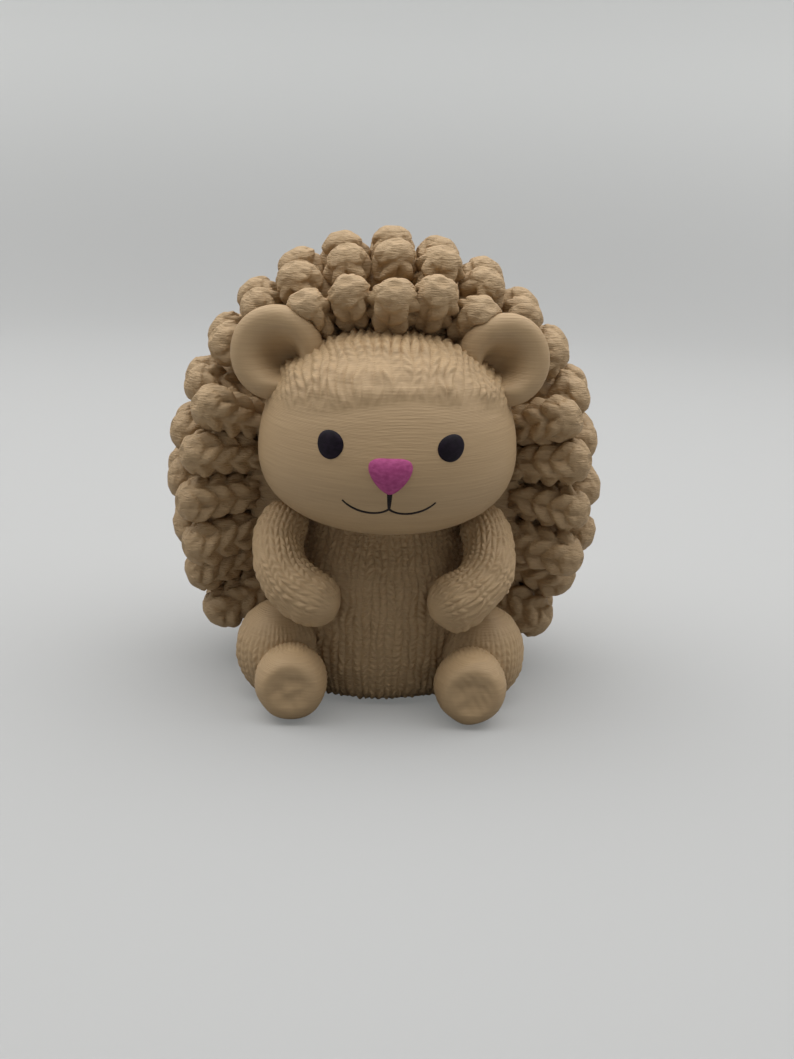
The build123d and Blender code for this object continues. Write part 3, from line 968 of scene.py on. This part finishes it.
round_angle = np.linspace(0, 2 * pi, eye_points, endpoint=False)
for side_name, side in sides:
    wander = 1 + eye_oval * np.sin(2 * round_angle + side) + eye_corner * np.sin(3 * round_angle - side)
    oval = np.stack([side * eye_spread + eye_width / 2 * wander * np.cos(round_angle),
                     eye_level + eye_height / 2 * wander * np.sin(round_angle)], axis=1)
    eye = painted_patch(f"painted_eye_{side_name}", oval, eye_rings, eye_proud, eye_roundness)
    dress(eye, eye_paint, "eye_paint", f"eye_{side_name}")

nose_side = bezier(nose_points, (nose_top_share, nose_top), (nose_side_share, nose_top),
                   (nose_tip_share, nose_tip), (0, nose_tip)) * (nose_width / 2, 1)
nose_line = np.concatenate([nose_side[:-1], (nose_side * (-1, 1))[:0:-1]])
nose_line = evenly(np.concatenate([nose_line, nose_line[:1]]), nose_step)[:-1]
nose = painted_patch("painted_nose", nose_line[::-1], nose_rings, nose_proud, nose_roundness)
dress(nose, nose_paint, "nose_paint", "nose")

# %% [markdown]
# The mouth is one line down from the nose and two shallow curves that turn up at the corners. A line of
# paint is a narrow strip: points along a curve, five across it, the middle ones lifted, and the
# width drawn in towards the end as a brush does.
# %% Mouth
mouth_level, mouth_reach = 36.3 * mm, 7.0 * mm
mouth_rise, mouth_sag = 0.95 * mm, 1.5 * mm
inner_share, outer_share, outer_sag_share = 0.23, 0.74, 2 / 3
line_width, line_taper = 0.62 * mm, 0.45
stem_width, stem_taper = 0.9 * mm, 0.3
line_proud, line_step, line_points = 0.2 * mm, 0.1 * mm, 60


def brush_line(centre_line, width, taper):
    """A strip of paint on the face along a line of places across and up."""
    line = evenly(centre_line, line_step)
    way = unit(np.gradient(line, axis=0))
    side_way = np.stack([-way[:, 1], way[:, 0]], axis=1)
    share = np.linspace(0, 1, len(line))
    half = width / 2 * (1 - taper * share**3)
    across = np.array([-1, -0.7, 0, 0.7, 1])
    flat = line[:, None] + side_way[:, None] * (half[:, None] * across)[..., None]
    return on_face(flat, line_proud * (1 - across**2))


stem = np.array([(0, nose_tip + stem_width), (0, mouth_level)])
strips = [brush_line(stem, stem_width, stem_taper)]
for _, side in sides:
    curve = bezier(line_points, (0, mouth_level), (inner_share, mouth_level - mouth_sag),
                   (outer_share, mouth_level - mouth_sag * outer_sag_share),
                   (1, mouth_level + mouth_rise)) * (side * mouth_reach, 1)
    strips.append(brush_line(curve, line_width, line_taper))
mouth = joined_mesh("painted_mouth", strips, lambda index: grid_quads(index.T[:, :-1], index.T[:, 1:]))
dress(mouth, mouth_paint, "mouth_paint", "mouth")

# %% [markdown]
# The studio is a round cove: a pale floor that curves up into a wall, without an edge and the same from
# every side. Part of what the camera sees of it is a plain tone of its own, stronger on the wall, which
# gets less of the lamp. The rest is real light, which keeps the shadow under the figurine.
# %% Studio
cove_radius, cove_corner, cove_height = 0.75, 0.35, 1.2
cove_start, floor_rings, bend_rings, cove_columns = 0.02, 12, 24, 96
cove_colour, cove_roughness, cove_shine = (0.36, 0.36, 0.357, 1), 0.9, 0.1
tone_colour = (0.98, 1.0, 0.98, 1)
floor_tone, wall_tone, tone_height = 0.14, 0.34, 0.12


def cove_tone(tree):
    """A plain tone that only the camera sees, stronger on the wall than on the floor."""
    place = tree.nodes.new("ShaderNodeNewGeometry").outputs["Position"]
    height = add_node(tree, "ShaderNodeMapRange", {
        "Value": upright_part(tree, place), "From Max": tone_height, "To Min": floor_tone,
        "To Max": wall_tone})
    height.interpolation_type = "SMOOTHSTEP"
    tone = add_node(tree, "ShaderNodeEmission", {
        "Color": tone_colour, "Strength": height.outputs["Result"]})
    nothing = add_node(tree, "ShaderNodeEmission", {"Strength": 0})
    seen = tree.nodes.new("ShaderNodeLightPath").outputs["Is Camera Ray"]
    sockets = {0: seen, 1: nothing.outputs[0], 2: tone.outputs[0]}
    return add_node(tree, "ShaderNodeMixShader", sockets).outputs[0]


def cove():
    """A round pale floor with a wall that curves up from it."""
    bend = np.linspace(-pi / 2, 0, bend_rings)
    floor_reach = cove_radius - cove_corner
    flat = np.linspace((cove_start, 0), (floor_reach, 0), floor_rings)
    corner = np.stack([np.cos(bend), 1 + np.sin(bend)], axis=1) * cove_corner + (floor_reach, 0)
    rows, _ = turned_form(np.concatenate([flat[:-1], corner, [(cove_radius, cove_height)]]), cove_columns)
    floor = grid_mesh("studio_cove", rows, start=(0, 0, 0))
    material, tree, shader = new_material("pale_cove", cove_roughness)
    set_inputs(tree, shader, {"Base Color": cove_colour, "Specular IOR Level": cove_shine})
    both = add_node(tree, "ShaderNodeAddShader", {0: shader.outputs[0], 1: cove_tone(tree)})
    tree.links.new(both.outputs[0], tree.nodes["Material Output"].inputs["Surface"])
    floor.data.materials.append(material)


cove()
print("cove", 2 * cove_radius, "m wide and", cove_height, "m high")

# %% [markdown]
# One large lamp hangs above, twice as wide as deep. The tops of the quills are brightest, the lamp's ends
# reach the cheeks and the outer quills, and whatever faces forward and down falls into shade. The world
# adds a low grey fill. Broad light gives the soft shadows of a cloudy window.
# %% Lights
lamp_place = Vector((0.0, 0.08, 0.45))
lamp_width, lamp_depth, lamp_power = 1.6, 0.75, 7.8
fill_colour, fill_strength = (0.95, 0.98, 1.0, 1), 0.16

lamp = bpy.data.objects.new("overhead_lamp", bpy.data.lights.new("overhead_lamp", "AREA"))
lamp.data.shape = "RECTANGLE"
lamp.data.size, lamp.data.size_y = lamp_width, lamp_depth
lamp.data.energy = lamp_power
lamp.location = lamp_place
target = Vector((0, 0, (cad_low.z + cad_high.z) / 2))
lamp.rotation_euler = (target - lamp.location).to_track_quat("-Z", "Y").to_euler()
scene.collection.objects.link(lamp)

world = bpy.data.worlds.new("studio_fill")
world.use_nodes = True
fill = world.node_tree.nodes["Background"]
set_inputs(world.node_tree, fill, {"Color": fill_colour, "Strength": fill_strength})
scene.world = world
print(lamp.name, lamp_width, "by", lamp_depth, "m")
